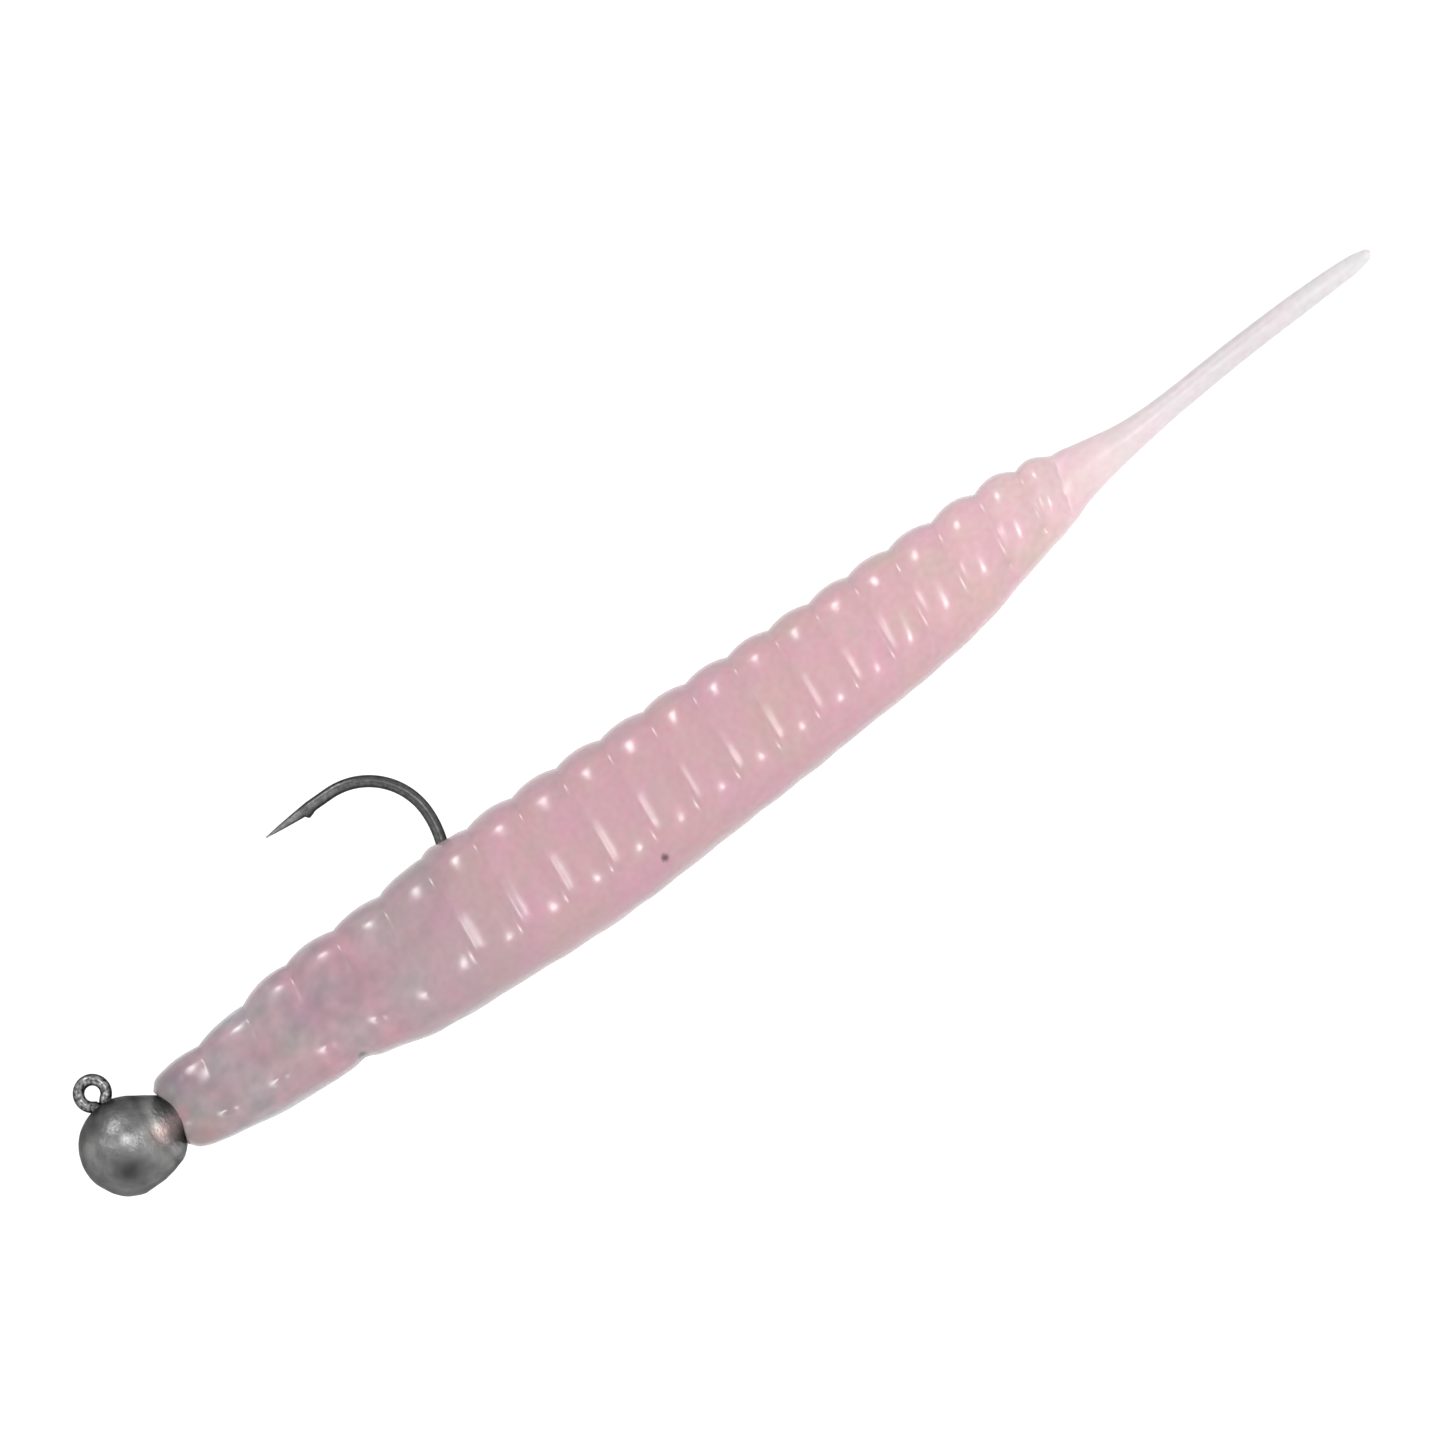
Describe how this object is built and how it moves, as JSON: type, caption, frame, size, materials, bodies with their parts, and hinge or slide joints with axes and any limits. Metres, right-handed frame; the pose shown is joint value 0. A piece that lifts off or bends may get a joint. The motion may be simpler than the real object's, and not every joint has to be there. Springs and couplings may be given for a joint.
{
  "type": "rigged jig head",
  "caption": "Round lead jig head on an up-eyed barbed hook, rigged with a soft ringed worm that ends in a thin pintail.",
  "frame": {"origin": "centre of the hole of the line eye, where the leader is tied", "axes": "+X runs back from the head along the shank to the worm's tail, +Z points to the side of the hook's point, and Y crosses the plane that the wire is bent in, along the eye's hole"},
  "size_m": [0.0599, 0.006, 0.0105],
  "materials": {
    "cast_lead": "matte",
    "hook_wire": "satin",
    "soft_plastic": "gloss"
  },
  "bodies": {
    "rigged_jig": {"lead_head": "cast_lead", "hook": "hook_wire", "worm_front": "soft_plastic"},
    "ringed_body": {"worm_rear": "soft_plastic"},
    "pintail": {"worm_pintail": "soft_plastic"}
  },
  "joints": [
    {"name": "body_flex", "type": "hinge", "parent": "rigged_jig", "child": "ringed_body", "pos_m": [0.0235, 0, -0.0029], "axis": [0, -1, 0], "range_deg": [-40, 40], "stiffness_Nm_per_rad": 0.002},
    {"name": "tail_flex", "type": "hinge", "parent": "ringed_body", "child": "pintail", "pos_m": [0.047, 0, -0.00208], "axis": [0, 0, 1], "range_deg": [-60, 60], "stiffness_Nm_per_rad": 0.00003}
  ]
}
